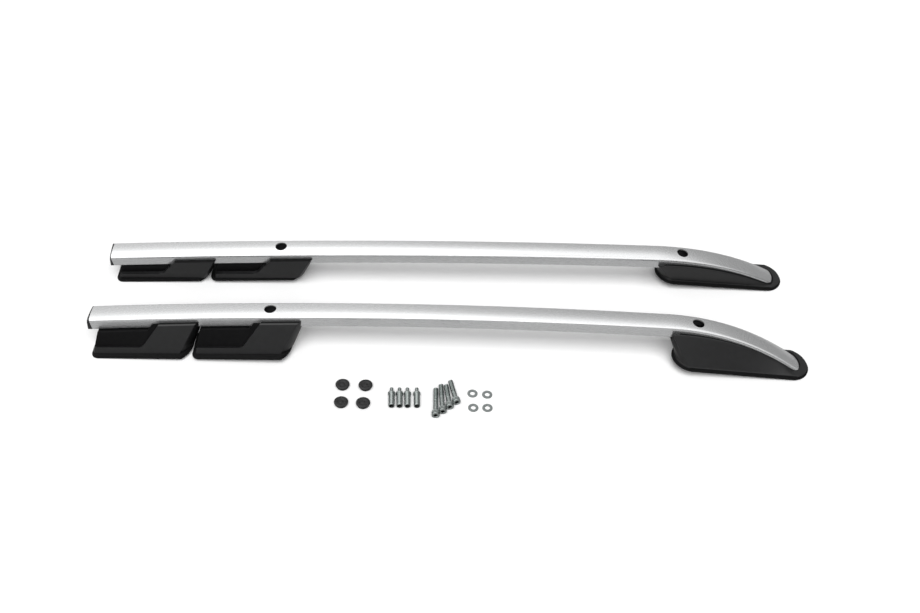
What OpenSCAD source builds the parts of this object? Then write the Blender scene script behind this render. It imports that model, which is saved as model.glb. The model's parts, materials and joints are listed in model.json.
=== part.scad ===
// Roof side rail pair: two bowed oval tubes on moulded feet, with their fixings laid out in front.
// X runs along the rails with the front of the vehicle at +X, Y runs to its left, Z is up.
// Each rail is described upright in its own plane, then leans inwards as it stands on a flat floor.

/* [Rail tube] */
// Width of the oval tube
tube_width = 38; // [35:0.5:42]
// Height of the oval tube
tube_height = 26.5; // [25:0.5:30]
// Wall of the tube
tube_wall = 2.2; // [1.5:0.1:2.8]
// Radius of the crown across the tube
crown_radius = 72; // [62:1:90]
// Radius where the crown turns into the side
side_radius = 5; // [4:0.25:6]
// Width across the flat underside
under_width = 32.5; // [30:0.5:34]
// Radius of the lower corners
under_radius = 4.5; // [3.5:0.25:6]
// Turn of the tube about its own length, inner side up
tube_cant = 12.5; // [8:0.5:15]

/* [Rail line] */
// Radius of the long bow over the roof
bow_radius = 9450; // [8500:50:11000]
// Place of the highest point, from the rear end of the tube
apex_x = 684; // [650:2:720]
// Height of the highest point in the plane of the rail
apex_z = 87; // [82:0.5:92]
// Place where the front bend begins
bend_x = 956; // [940:2:970]
// Radius of the front bend
bend_radius = 418; // [390:2:450]
// Slope of the rail after the front bend
bend_slope = 32; // [30:0.5:34]

/* [Feet] */
// Width of a foot across its shoulders
shoulder_width = 46; // [44:0.5:49]
// Width of a foot across its base
base_width = 60; // [56:0.5:62]
// Depth of the shoulder below the crown of the tube
shoulder_drop = 13; // [11.5:0.25:14]
// Rear end of the rear foot at its base
rear_foot_x = 3.5; // [0:0.5:6]
// Length of the rear foot at its base
rear_foot_length = 158.5; // [154:0.5:161]
// Gap between the rear and middle feet at their bases
feet_gap = 8; // [8:0.5:14]
// Length of the middle foot at its base
middle_foot_length = 157.5; // [150:0.5:162]
// Length of the front foot at its base
front_foot_length = 228.5; // [222:0.5:236]
// How far the front foot reaches past the tip of the tube
nose_margin = 15; // [12:0.5:20]
// Lean of the rear ends of the feet
rear_rake = 14; // [8:0.5:18]
// Lean of the front ends of the two rear feet
front_rake = 22; // [18:0.5:25]
// Lean of the rear end of the front foot
heel_rake = 9; // [6:0.5:14]
// Rise of the front foot's shoulders against the tube, in degrees
shoulder_rise = 2.1; // [1:0.1:2.6]
// Corner radius in plan at the rear ends
rear_corner = 9; // [5:0.5:14]
// Radius in plan of the front ends of the two rear feet
front_round = 34; // [33:0.5:40]
// Radius in plan of the front ends of their pads
pad_round = 43; // [40:1:50]
// Radius in plan of both ends of the front foot
nose_round = 31.5; // [31.5:0.5:34]
// Bevel along the outer edge of the shoulders
shoulder_bevel = 1.6; // [1:0.1:2.4]
// Depth of the side recess in the two rear feet
recess_depth = 8; // [6:0.2:8.4]
// Height of the ledge under the recess
ledge_height = 9.5; // [7:0.5:13]
// Length of the full-width shoulder
shoulder_length = 70; // [60:1:76]
// Slope of the panel edge that closes the recess
panel_slope = 55; // [50:1:62]
// Fillet where the panel edge meets the ledge
panel_fillet = 14; // [8:0.5:18]
// Wall of the moulded feet
foot_wall = 3; // [2.4:0.1:3.6]
// Thickness of the cross ribs inside the feet
rib = 2.4; // [1.8:0.1:3]

/* [Base pads] */
// Thickness of the rubber pad under a foot
pad_height = 5; // [3.5:0.25:6.5]
// How far the pad stands out round the foot
pad_lip = 3; // [2:0.25:4]
// Share of the pad's thickness in its lower lip
lip_share = 0.6; // [0.4:0.05:0.7]
// Rise of the roof under the two rear feet
rear_pitch = 1.9; // [1:0.1:2.5]
// Fall of the roof under the front foot
front_pitch = 4; // [3:0.1:4.5]

/* [Fixings] */
// Diameter of the access hole in the top of the tube
access_d = 20; // [18:0.5:22]
// Clearance hole for the bolt
bolt_hole = 8.6; // [8.4:0.1:9.4]
// Outer diameter of the steel sleeve in a foot
sleeve_d = 14; // [12:0.5:16]
// Setback of the rear bolt from the front end of the middle foot
rear_bolt_setback = 29.5; // [25:0.5:36]
// Reach of the front bolt from the rear end of the front foot
front_bolt_reach = 31; // [27:1:37]
// Inset of the bolts from the inner edge of the base
bolt_inset = 12; // [10:0.5:14]
// Thread diameter of the bolts
bolt_d = 8; // [6:0.5:8]
// Length of the two long bolts under their heads
long_bolt = 50; // [46:1:54]
// Length of the two short bolts under their heads
short_bolt = 40; // [36:1:42]
// Diameter of a bolt head
head_d = 13; // [11:0.5:15]
// Width across the flats of the hexagon socket
socket_across = 6; // [5:0.25:6.5]
// Height of a bolt head
head_h = 8; // [6:0.5:9]
// Outer diameter of a washer
washer_d = 16.6; // [14:0.2:20]
// Thickness of a washer
washer_h = 1.6; // [1:0.1:2.4]
// Length of a threaded insert
insert_length = 38; // [34:1:42]
// Diameter of the body of an insert
insert_d = 10; // [9:0.25:12]
// Diameter of the spigot of an insert
spigot_d = 6; // [5:0.25:6.5]
// Diameter of the collar of an insert
collar_d = 12.2; // [11.4:0.2:12.4]
// Thread bore of an insert
insert_bore = 6.8; // [5:0.1:7.2]
// Diameter of the head of a hole plug
plug_d = 23; // [22.5:0.25:26]
// Thickness of the head of a hole plug
plug_head = 2.6; // [2:0.1:3.4]
// Depth of the skirt of a hole plug
plug_skirt = 4.5; // [3.5:0.5:8]
// Wall of the skirt of a hole plug
plug_wall = 1.4; // [1.2:0.1:2]
// Diameter of the dish in the head of a hole plug
dish_d = 15; // [12:0.5:17]
// Depth of the dish in the head of a hole plug
dish_depth = 0.5; // [0.3:0.1:0.8]

/* [End cap] */
// How far the cap stands proud at the crown
cap_top = 2; // [1.5:0.25:4]
// How far the cap stands proud at the underside
cap_under = 8; // [6:0.25:10]
// Depth of the cap's plug inside the tube
cap_plug = 14; // [10:0.5:18]
// Wall of the cap's plug
cap_wall = 1.6; // [1.2:0.1:2]

/* [Stance of the pair] */
// Lean of each rail towards the other on a flat floor
lean = 16; // [13:0.5:18]
// Half the distance between the base lines
half_track = 102.4; // [98:0.2:120]
// Toe-out of each rail
toe = 0.8; // [0:0.02:1]

/* [Hidden] */

// Small steps shared by every piece
seat_gap = 0.2;
cut = 1;
arc_steps = 720;
crown_steps = 6;
corner_steps = 4;
bow_rings = 10;
bend_rings = 12;
round_steps = 48;
far = 400;

// The middle of a rail, which the pair is turned about and placed by
rail_middle_x = 592;
pair_x = -16;

// Shift that brings the middle of the whole set's floor plan to the origin
set_x = 10.32;
set_y = 49.4;

// Derived half sizes and slopes
half_tube = tube_width / 2;
half_shoulder = shoulder_width / 2;
cant_slope = tan(tube_cant);
draft_slope = (base_width - shoulder_width) / 2 / (apex_z - shoulder_drop);
draft = atan(draft_slope);

// Edges of a foot's base on the leaning plane of the floor, and the middle between them
base_outer = base_width / 2 / (1 - tan(lean) * draft_slope) / cos(lean);
base_inner = base_width / 2 / (1 + tan(lean) * draft_slope) / cos(lean);
base_middle = (base_inner - base_outer) / 2;
half_base = (base_inner + base_outer) / 2;
half_plan = base_width / 2 + cut;

// Centres of the arcs that make the tube's outline
side_x = half_tube - side_radius;
side_z = -crown_radius + sqrt(pow(crown_radius - side_radius, 2) - pow(side_x, 2));
under_x = under_width / 2 - under_radius;
under_z = under_radius - tube_height;

// The rail line: a long bow, a tighter front bend, then a straight run down
bow_cx = apex_x;
bow_cz = apex_z - bow_radius;
bend_start = asin((bend_x - apex_x) / bow_radius);
bend_cx = bend_x - bend_radius * sin(bend_start);
bend_cz = bow_cz + (bow_radius - bend_radius) * cos(bend_start);
nose_x = bend_cx + bend_radius * sin(bend_slope);
nose_z = bend_cz + bend_radius * cos(bend_slope);

function bow_angle(x) = asin((x - bow_cx) / bow_radius);
function line_angle(x) =
    x < bend_x ? bow_angle(x)
    : x < nose_x ? asin((x - bend_cx) / bend_radius)
    : bend_slope;
function crest_z(x) =
    x < bend_x ? bow_cz + bow_radius * cos(bow_angle(x))
    : x < nose_x ? bend_cz + sqrt(pow(bend_radius, 2) - pow(x - bend_cx, 2))
    : nose_z - (x - nose_x) * tan(bend_slope);

// The feet along the rail, and the ground under them
rear_foot_end = rear_foot_x + rear_foot_length;
middle_foot_x = rear_foot_end + feet_gap;
middle_foot_end = middle_foot_x + middle_foot_length;
tray_rim = 2.5;
tray_height = pad_height + tray_rim;
nose_rise = tray_height + (nose_margin + pad_lip) * tan(front_pitch);
rear_pivot_x = rear_foot_x - pad_lip;
tip_x = nose_x + (nose_z * cos(lean) - nose_rise) / (tan(bend_slope) * cos(lean));
front_foot_end = tip_x + nose_margin;
front_foot_x = front_foot_end - front_foot_length;
front_pivot_x = front_foot_end + pad_lip;

// Places of the bolts along the rail and across it
rear_bolt_x = middle_foot_end - rear_bolt_setback;
front_bolt_x = front_foot_x + front_bolt_reach;
bolt_y = base_width / 2 - bolt_inset;

// Place on the rail line where the front sleeve's top faces the underside of the tube
front_seat_x = front_bolt_x + tube_height * sin(line_angle(front_bolt_x))
    + (crest_z(front_bolt_x) - tube_height) * tan(front_pitch);

// Screws that hold the feet to the tube from below, and the ribs between them
screw_boss = 12;
screw_head = 9;
screw_head_h = 3;
screw_d = 5;
screw_seat = 6;
screw_grip = 3;
first_screw = 62;
last_screw = 122;
nose_screw = 98;
rear_screws = [rear_foot_x + first_screw, rear_foot_x + last_screw];
middle_screws = [middle_foot_x + first_screw];
front_screws = [front_foot_x + nose_screw];
first_rib = 32;
last_rib = 92;
rear_ribs = [rear_foot_x + first_rib, rear_foot_x + last_rib];
middle_ribs = [middle_foot_x + first_rib, middle_foot_x + last_rib];
front_ribs = [front_foot_x + 18, front_foot_x + 68];
under_roof = 2;

// Small steps of the fixings
plug_gap = 0.4;
spigot_length = 10;
collar_width = 3;
hole_ease = 0.4;

function unit(v) = v / norm(v);
function corner_half(p, q, r) = acos(unit(p - q) * unit(r - q)) / 2;
function turn(p, q, r) = (q[0] - p[0]) * (r[1] - q[1]) - (q[1] - p[1]) * (r[0] - q[0]);

// Outline through points given anticlockwise, with a radius at each
module rounded_outline(points, radii) {
    n = len(points);
    before = [for (i = [0 : n - 1]) points[(i + n - 1) % n]];
    after = [for (i = [0 : n - 1]) points[(i + 1) % n]];
    halves = [for (i = [0 : n - 1]) corner_half(before[i], points[i], after[i])];
    middles = [for (i = [0 : n - 1]) points[i] + unit(unit(before[i] - points[i])
        + unit(after[i] - points[i])) * radii[i] / sin(halves[i])];
    difference() {
        union() {
            polygon([for (i = [0 : n - 1]) each radii[i] == 0 ? [points[i]]
                : [points[i] + unit(before[i] - points[i]) * radii[i] / tan(halves[i]),
                    points[i] + unit(after[i] - points[i]) * radii[i] / tan(halves[i])]]);
            for (i = [0 : n - 1])
                if (radii[i] > 0 && turn(before[i], points[i], after[i]) > 0)
                    translate(middles[i]) circle(radii[i], $fn = round_steps);
        }
        for (i = [0 : n - 1])
            if (radii[i] > 0 && turn(before[i], points[i], after[i]) < 0)
                translate(middles[i]) circle(radii[i], $fn = round_steps);
    }
}

// Points along an arc, in degrees, from one end to the other
function arc_points(centre, radius, from, to, steps) = [for (i = [0 : steps])
    let (a = from + (to - from) * i / steps) centre + radius * [cos(a), sin(a)]];
function mirrored(points) = [for (i = [len(points) - 1 : -1 : 0]) [-points[i][0], points[i][1]]];
function canted(points) = [for (p = points) [
    p[0] * cos(tube_cant) - (p[1] + tube_height / 2) * sin(tube_cant),
    p[0] * sin(tube_cant) + (p[1] + tube_height / 2) * cos(tube_cant) - tube_height / 2]];

// Half outline of the tube from its crown down to its underside, drawn smaller by inset on every side
crown_edge = atan2(side_z + crown_radius, side_x);
flank = [under_x - side_x, under_z - side_z];
flank_normal = atan2(flank[1], flank[0]) + acos((side_radius - under_radius) / norm(flank));
function half_tube_points(inset) = concat(
    arc_points([0, -crown_radius], crown_radius - inset, 90, crown_edge, crown_steps),
    [for (i = [1 : corner_steps]) arc_points([side_x, side_z], side_radius - inset, crown_edge, flank_normal,
        corner_steps)[i]],
    arc_points([under_x, under_z], under_radius - inset, flank_normal, -90, corner_steps));

// Section of the tube, crown at the origin, canted about its middle
module tube_section(inset = 0) {
    polygon(tube_points(inset));
}
function tube_points(inset) =
    let (half = half_tube_points(inset))
    canted(concat([for (i = [1 : len(half) - 1]) half[i]], mirrored(half)));

// Stations along the rail line, each with its place and slope: the bow, the front bend, the straight run
stations = concat(
    [for (i = [0 : bow_rings]) let (a = bow_angle(0) + (bend_start - bow_angle(0)) * i / bow_rings)
        [bow_cx + bow_radius * sin(a), bow_cz + bow_radius * cos(a), a]],
    [for (i = [1 : bend_rings]) let (a = bend_start + (bend_slope - bend_start) * i / bend_rings)
        [bend_cx + bend_radius * sin(a), bend_cz + bend_radius * cos(a), a]],
    [[nose_x + far / 3 * cos(bend_slope), nose_z - far / 3 * sin(bend_slope), bend_slope]]);
function placed(points, station) = [for (p = points) [station[0] + p[1] * sin(station[2]), p[0],
    station[1] + p[1] * cos(station[2])]];

// The extrusion itself: an outer and an inner skin through every station, joined by a ring at each end
module bent_extrusion() {
    n = len(tube_points(0));
    last = len(stations) - 1;
    skins = [for (inset = [0, tube_wall], station = stations) each placed(tube_points(inset), station)];
    inner = n * (last + 1);
    polyhedron(skins, concat(
        [for (k = [0 : last - 1], i = [0 : n - 1]) let (j = (i + 1) % n)
            [k * n + i, k * n + j, (k + 1) * n + j, (k + 1) * n + i]],
        [for (k = [0 : last - 1], i = [0 : n - 1]) let (j = (i + 1) % n)
            [inner + k * n + j, inner + k * n + i, inner + (k + 1) * n + i, inner + (k + 1) * n + j]],
        [for (i = [0 : n - 1]) let (j = (i + 1) % n) [i, inner + i, inner + j, j]],
        [for (i = [0 : n - 1]) let (j = (i + 1) % n)
            [last * n + i, last * n + j, inner + last * n + j, inner + last * n + i]]));
}

// Section of a foot: drafted flanks under shoulders that follow the cant of the tube
function flank_half(depth, inset) = half_shoulder - inset + (depth - shoulder_drop) * draft_slope;
function shoulder_corner(side, level, inset) =
    let (w = flank_half(-level, inset) / (1 + side * cant_slope * draft_slope))
    [side * w, level + side * w * cant_slope];
function bevelled(corner, side, edge) =
    [corner + edge * [side * draft_slope, -1], corner - side * edge * [1, cant_slope]];
module foot_section(inset, drop, edge) {
    level = -tube_height / 2 + (tube_height / 2 - drop) / cos(tube_cant);
    foot_depth = 3 * apex_z / 2;
    bottom = flank_half(foot_depth, inset);
    inner = bevelled(shoulder_corner(1, level, inset), 1, edge);
    outer = bevelled(shoulder_corner(-1, level, inset), -1, edge);
    polygon([[-bottom, -foot_depth], [bottom, -foot_depth], inner[0], inner[1], outer[1], outer[0]]);
}

// Turns a section drawn across the rail into the plane that a revolve needs
module section_to_radius() {
    mirror([1, 0]) rotate(90) children();
}

// Carries a section round the front bend, with a straight run before it and one after it
module bend_run() {
    translate([bend_x, 0, crest_z(bend_x)]) rotate([0, bend_start, 0]) rotate([90, 0, 90])
        translate([0, 0, -far / 4]) linear_extrude(far / 4) children();
    translate([bend_cx, 0, bend_cz]) rotate([0, -90, -90]) rotate([0, 0, bend_start])
        rotate_extrude(angle = bend_slope - bend_start, $fn = arc_steps)
            translate([bend_radius, 0]) section_to_radius() children();
    translate([nose_x, 0, nose_z]) rotate([0, bend_slope, 0]) rotate([90, 0, 90])
        linear_extrude(far / 3) children();
}

// Carries a section straight between two places on the bow, as a foot does under the tube
module chord_run(from, to) {
    run_in = far / 8;
    fall = atan((crest_z(from) - crest_z(to)) / (to - from));
    translate([from, 0, crest_z(from)]) rotate([0, fall, 0]) rotate([90, 0, 90])
        translate([0, 0, -run_in]) linear_extrude(to - from + 2 * run_in) children();
}

// Frame on the underside of the tube at a place, square to it
module under_tube(x) {
    translate([x, 0, crest_z(x)]) rotate([0, line_angle(x), 0]) translate([0, 0, -tube_height / 2])
        rotate([tube_cant, 0, 0]) translate([0, 0, -tube_height / 2]) children();
}

// Leans a piece from the plane of the rail into the floor's frame
module leaned() {
    rotate([-lean, 0, 0]) children();
}

// Frames that lie on the roof under the feet
module pitched_about(x, pitch) {
    translate([x, 0, 0]) rotate([0, pitch, 0]) translate([-x, 0, 0]) children();
}
module on_rear_roof() {
    pitched_about(rear_pivot_x, -rear_pitch) children();
}
module on_front_roof() {
    pitched_about(front_pivot_x, front_pitch) children();
}

// Everything above a height over the roof
module above(height) {
    translate([-far, -far / 2, height]) cube([5 * far, far, far]);
}

// Plan of a foot or pad between two places, grown on every side, with a rounded end where a radius is given
module foot_plan(from, to, half, grow, rear_end, front_end) {
    w = half + grow;
    corner = rear_end > 0 ? 0 : rear_corner + grow;
    left = rear_end > 0 ? from + rear_end : from - far;
    right = front_end > 0 ? to - front_end : to + far;
    intersection() {
        rounded_outline([[from - grow, -w], [to + grow, -w], [to + grow, w], [from - grow, w]],
            [corner, 0, 0, corner]);
        union() {
            translate([left, -far]) square([right - left, 2 * far]);
            if (rear_end > 0) translate([left, 0]) circle(rear_end + grow, $fn = 2 * round_steps);
            if (front_end > 0) translate([right, 0]) circle(front_end + grow, $fn = 2 * round_steps);
        }
    }
}

// Bolt axes, square to the roof
module at_rear_bolt() {
    on_rear_roof() translate([rear_bolt_x, bolt_y, 0]) children();
}
module at_front_bolt() {
    on_front_roof() translate([front_bolt_x, bolt_y, 0]) children();
}

module bolt_bores(d) {
    at_rear_bolt() translate([0, 0, -cut]) cylinder(h = 2 * apex_z, d = d, $fn = round_steps);
    at_front_bolt() translate([0, 0, -cut]) cylinder(h = 2 * apex_z, d = d, $fn = round_steps);
}

// The tube's own space, used by whatever seats against it
module chord_tube_space(from, to) {
    leaned() chord_run(from, top_end(to)) tube_section(-seat_gap);
}
module front_tube_space() {
    leaned() bend_run() tube_section(-seat_gap);
}

// Height of the middle of the tube over the floor
function middle_z(x) = (crest_z(x) - tube_height / 2) * cos(lean);

module rail_tube() {
    color("silver") difference() {
        leaned() bent_extrusion();
        on_front_roof() translate([bend_x, -far / 2, tray_height - far]) cube(far);
        for (x = concat(rear_screws, middle_screws, front_screws)) screw_bore(x);
        bolt_bores(bolt_hole);
        at_rear_bolt()
            translate([0, 0, middle_z(rear_bolt_x) - (rear_bolt_x - rear_pivot_x) * tan(rear_pitch)])
                cylinder(h = apex_z, d = access_d, $fn = round_steps);
        at_front_bolt()
            translate([0, 0, middle_z(front_bolt_x) - (front_pivot_x - front_bolt_x) * tan(front_pitch)])
                cylinder(h = apex_z, d = access_d, $fn = round_steps);
    }
}

// Cap over the rear end: a plug inside the tube and a sloping domed face
module rear_end_cap() {
    slope = atan((cap_under - cap_top) / tube_height);
    color("#2a2b2d") leaned() translate([0, 0, crest_z(0)]) rotate([0, bow_angle(0), 0]) {
        intersection() {
            rotate([90, 0, -90]) linear_extrude(cap_under + cap_top) mirror([1, 0]) tube_section();
            translate([-cap_top, 0, 0]) rotate([0, slope, 0]) translate([far, 0, 0])
                rotate([90, 0, 0]) cylinder(h = far, r = far, center = true, $fn = arc_steps);
        }
        rotate([90, 0, 90]) linear_extrude(cap_plug) difference() {
            tube_section(tube_wall + seat_gap);
            tube_section(tube_wall + seat_gap + cap_wall);
        }
    }
}

// Place along the rail that a front end reaches at the shoulder, and how far its corner stays behind it
function top_end(to) = to + (crest_z(to) - shoulder_drop) * tan(front_rake);
corner_depth = front_round - sqrt(pow(front_round, 2) - pow(half_shoulder, 2));

// Side view of the recess in a rear foot, behind its panel and above a ledge that lies along the roof
module recess_outline(from, to) {
    shoulder_from = top_end(to) - corner_depth - shoulder_length;
    ledge = ledge_height + pad_height + (shoulder_from - rear_pivot_x) * tan(rear_pitch);
    corner = shoulder_from - (crest_z(from) - shoulder_drop - ledge) / tan(panel_slope);
    rounded_outline([[from - far, ledge - (corner - from + far) * tan(rear_pitch)], [corner, ledge],
        [corner + far / 2 / tan(panel_slope), ledge + far / 2], [from - far, ledge + far / 2]],
        [0, panel_fillet, 0, 0]);
}

// The recess carried across the rail
module recess_run(from, to) {
    rotate([90, 0, 0]) linear_extrude(far / 2, center = true) recess_outline(from, to);
}

// Room in front of the raked rear end (0) or behind the raked front end (1) of a rear foot, with an inset
module raked_end(from, to, inset, end) {
    if (end == 0)
        translate([from + inset, 0, 0]) rotate([0, rear_rake, 0]) translate([-from, 0, -far / 4])
            linear_extrude(far) foot_plan(from, to + far / 2, half_plan, 0, 0, 0);
    else
        translate([to - inset, 0, 0]) rotate([0, front_rake, 0]) translate([-to, 0, -far / 4])
            linear_extrude(far) foot_plan(from - far / 2, to, half_plan, 0, 0, front_round);
}

// Body of one of the two rear feet before the roof cuts it
module rear_foot_body(from, to) {
    difference() {
        intersection() {
            chord_run(from, to) foot_section(0, shoulder_drop, shoulder_bevel);
            intersection_for(end = [0, 1]) raked_end(from, to, 0, end);
        }
        for (s = [-1, 1])
            translate([0, s * (half_shoulder - recess_depth), apex_z - shoulder_drop])
                rotate([s * draft, 0, 0])
                    translate([0, s * far / 4, s * base_width / 2 * tan(lean) + shoulder_drop - apex_z])
                        recess_run(from, to);
        difference() {
            translate([0, 0, half_shoulder * tan(lean)]) recess_run(from, to);
            chord_run(from, to) foot_section(0, tube_height + seat_gap, 0);
        }
    }
}

// Hollow under a rear foot, with its ribs and bosses left standing
module rear_foot_hollow(from, to, ribs, bosses) {
    difference() {
        intersection() {
            chord_run(from, to)
                foot_section(recess_depth + foot_wall, tube_height + foot_wall + under_roof, 0);
            intersection_for(end = [0, 1]) raked_end(from, to, foot_wall, end);
        }
        for (x = ribs) translate([x, 0, 0]) cube([rib, base_width, 3 * apex_z], center = true);
        for (x = bosses)
            translate([x, 0, -apex_z / 2]) cylinder(h = 2 * apex_z, d = screw_boss, $fn = round_steps);
    }
}

// One screw, driven from below into the underside of the tube
module screw_at(x) {
    under_tube(x) {
        translate([0, 0, -screw_seat - screw_head_h])
            cylinder(h = screw_head_h, d = screw_head, $fn = round_steps);
        translate([0, 0, -screw_seat])
            cylinder(h = screw_seat + tube_wall + screw_grip, d = screw_d, $fn = round_steps);
    }
}

// Bore for a screw: clearance for its shank, and a well for its head and driver
module screw_bore(x) {
    leaned() under_tube(x) {
        translate([0, 0, -screw_seat - cut])
            cylinder(h = screw_seat + tube_wall + 2 * cut, d = screw_d + seat_gap, $fn = round_steps);
        translate([0, 0, -screw_seat - apex_z])
            cylinder(h = apex_z, d = screw_head + 2 * seat_gap, $fn = round_steps);
    }
}

module rear_foot() {
    color("#26272a") difference() {
        intersection() {
            leaned() rear_foot_body(rear_foot_x, rear_foot_end);
            on_rear_roof() above(pad_height);
        }
        leaned() rear_foot_hollow(rear_foot_x, rear_foot_end, rear_ribs, rear_screws);
        chord_tube_space(rear_foot_x, rear_foot_end);
        for (x = rear_screws) screw_bore(x);
    }
}

module middle_foot() {
    color("#26272a") difference() {
        intersection() {
            leaned() rear_foot_body(middle_foot_x, middle_foot_end);
            on_rear_roof() above(pad_height);
        }
        difference() {
            leaned() rear_foot_hollow(middle_foot_x, middle_foot_end, middle_ribs, middle_screws);
            at_rear_bolt() cylinder(h = 2 * apex_z, d = sleeve_d + 2 * foot_wall, $fn = round_steps);
        }
        at_rear_bolt() translate([0, 0, -cut]) cylinder(h = 2 * apex_z, d = sleeve_d, $fn = round_steps);
        chord_tube_space(middle_foot_x, middle_foot_end);
        for (x = middle_screws) screw_bore(x);
    }
}

// Hollow under the front foot: it follows the tube in short straight steps and keeps its ribs and bosses
module front_foot_hollow() {
    steps = 6;
    start = front_foot_x + 3 * foot_wall;
    end = nose_x + (tip_x - nose_x) / 3;
    half = half_shoulder - foot_wall;
    roof = foot_wall + under_roof + half * cant_slope;
    difference() {
        leaned() rotate([90, 0, 0]) linear_extrude(2 * half, center = true) polygon(concat(
            [[start, -apex_z], [end, -apex_z]],
            [for (i = [steps : -1 : 0]) let (x = start + (end - start) * i / steps)
                [x, crest_z(x) - (tube_height + roof) / cos(line_angle(x))]]));
        leaned() for (x = front_ribs)
            translate([x, 0, 0]) cube([rib, base_width, 3 * apex_z], center = true);
        leaned() for (x = front_screws) translate([x, 0, -apex_z / 2])
            cylinder(h = 2 * apex_z, d = screw_boss, $fn = round_steps);
        at_front_bolt() cylinder(h = 2 * apex_z, d = sleeve_d + 2 * foot_wall, $fn = round_steps);
    }
}

module front_foot() {
    color("#26272a") difference() {
        union() {
            intersection() {
                leaned() intersection() {
                    translate([front_foot_x, 0, crest_z(front_foot_x)]) rotate([0, -shoulder_rise, 0])
                        translate([-front_foot_x, 0, -crest_z(front_foot_x)]) bend_run()
                            foot_section(0, shoulder_drop, shoulder_bevel);
                    translate([front_foot_x, 0, 0]) rotate([0, -heel_rake, 0])
                        translate([-front_foot_x, 0, -far / 4]) linear_extrude(far)
                            foot_plan(front_foot_x, front_foot_end + far / 4, half_plan, 0, nose_round, 0);
                }
                on_front_roof() translate([0, base_middle, pad_height]) linear_extrude(far)
                    foot_plan(front_foot_x - far / 4, front_foot_end, half_base, 0, 0, nose_round);
            }
            on_front_roof() translate([0, base_middle, pad_height]) linear_extrude(tray_rim)
                foot_plan(front_foot_x, front_foot_end, half_base, 0, nose_round, nose_round);
        }
        front_foot_hollow();
        front_tube_space();
        for (x = front_screws) screw_bore(x);
        at_front_bolt() translate([0, 0, -cut]) cylinder(h = 2 * apex_z, d = sleeve_d, $fn = round_steps);
    }
}

// Rubber pad under a foot: a thick lower lip and a slimmer upper edge
module pad(from, to, rear_end, front_end) {
    translate([0, base_middle, 0]) {
        linear_extrude(pad_height * lip_share)
            foot_plan(from, to, half_base, pad_lip, rear_end, front_end);
        linear_extrude(pad_height)
            foot_plan(from, to, half_base, pad_lip / 2, rear_end, front_end);
    }
}
module rear_pad() {
    color("#17181a") on_rear_roof() pad(rear_foot_x, rear_foot_end, 0, pad_round);
}
module middle_pad() {
    color("#17181a") difference() {
        on_rear_roof() pad(middle_foot_x, middle_foot_end, 0, pad_round);
        at_rear_bolt() translate([0, 0, -cut]) cylinder(h = 2 * apex_z, d = sleeve_d, $fn = round_steps);
    }
}
module front_pad() {
    color("#17181a") difference() {
        on_front_roof() pad(front_foot_x, front_foot_end, nose_round, nose_round);
        at_front_bolt() translate([0, 0, -cut]) cylinder(h = 2 * apex_z, d = sleeve_d, $fn = round_steps);
    }
}

// Steel sleeves that carry the clamping load from the tube to the roof
module sleeve() {
    difference() {
        cylinder(h = apex_z, d = sleeve_d, $fn = round_steps);
        translate([0, 0, -cut]) cylinder(h = apex_z + 2 * cut, d = bolt_hole, $fn = round_steps);
    }
}
module rear_bolt_sleeve() {
    color("#b9bcc0") difference() {
        at_rear_bolt() sleeve();
        leaned() under_tube(rear_bolt_x) translate([-far / 2, -far / 2, -seat_gap]) cube(far);
    }
}
module front_bolt_sleeve() {
    color("#b9bcc0") difference() {
        at_front_bolt() sleeve();
        leaned() under_tube(front_seat_x) translate([-far / 2, -far / 2, -seat_gap]) cube(far);
    }
}

module foot_screws() {
    color("#8d9094") leaned() for (x = concat(rear_screws, middle_screws, front_screws)) screw_at(x);
}

// Plug for an access hole, standing on its skirt with its head up: a domed head with a dished middle
module hole_plug() {
    skirt = access_d / 2 - plug_gap;
    dome = 3 * plug_d;
    color("#2a2b2d") rotate_extrude($fn = 2 * round_steps) difference() {
        union() {
            translate([0, plug_skirt]) intersection() {
                square([plug_d / 2, plug_head]);
                translate([0, plug_head - dome]) circle(dome, $fn = 4 * round_steps);
            }
            square([skirt, plug_skirt]);
            translate([skirt - plug_gap, plug_skirt / 2]) circle(2 * plug_gap, $fn = round_steps);
        }
        translate([-cut, -cut]) square([skirt - plug_wall + cut, plug_skirt - plug_gap + cut]);
        translate([-cut, plug_skirt + plug_head - dish_depth]) square([dish_d / 2 + cut, dish_depth + cut]);
    }
}

// Threaded insert lying on its collar, with its open end at the origin and its spigot towards +Y
module threaded_insert() {
    body = insert_length - spigot_length - collar_width;
    color("#c3c6c8") translate([0, 0, collar_d / 2]) rotate([-90, 0, 0]) rotate_extrude($fn = 2 * round_steps)
        difference() {
            union() {
                square([insert_d / 2, body]);
                translate([0, body]) square([collar_d / 2, collar_width]);
                square([spigot_d / 2, insert_length]);
            }
            translate([-cut, -cut]) square([insert_bore / 2 + cut, body + cut]);
        }
}

// Socket-head bolt lying down, with its tip at the origin and its head towards -Y
module bolt(length) {
    color("#c3c6c8") translate([0, 0, head_d / 2]) rotate([90, 0, 0]) difference() {
        union() {
            cylinder(h = length, d = bolt_d, $fn = round_steps);
            translate([0, 0, length]) cylinder(h = head_h, d = head_d, $fn = 2 * round_steps);
        }
        translate([0, 0, length + head_h / 2]) cylinder(h = head_h, d = socket_across / cos(30), $fn = 6);
    }
}

module washer() {
    color("#c3c6c8") difference() {
        cylinder(h = washer_h, d = washer_d, $fn = 2 * round_steps);
        translate([0, 0, -cut]) cylinder(h = washer_h + 2 * cut, d = bolt_d + hole_ease, $fn = round_steps);
    }
}

// The right rail stands at negative Y, and the left rail is its mirror image
module on_right() {
    translate([pair_x, -half_track, 0]) rotate([0, 0, -toe]) translate([-rail_middle_x, 0, 0]) children();
}
module on_side(side) {
    translate([set_x, set_y, 0])
        if (side == "right")
            on_right() children();
        else
            mirror([0, 1, 0]) on_right() children();
}

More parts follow.
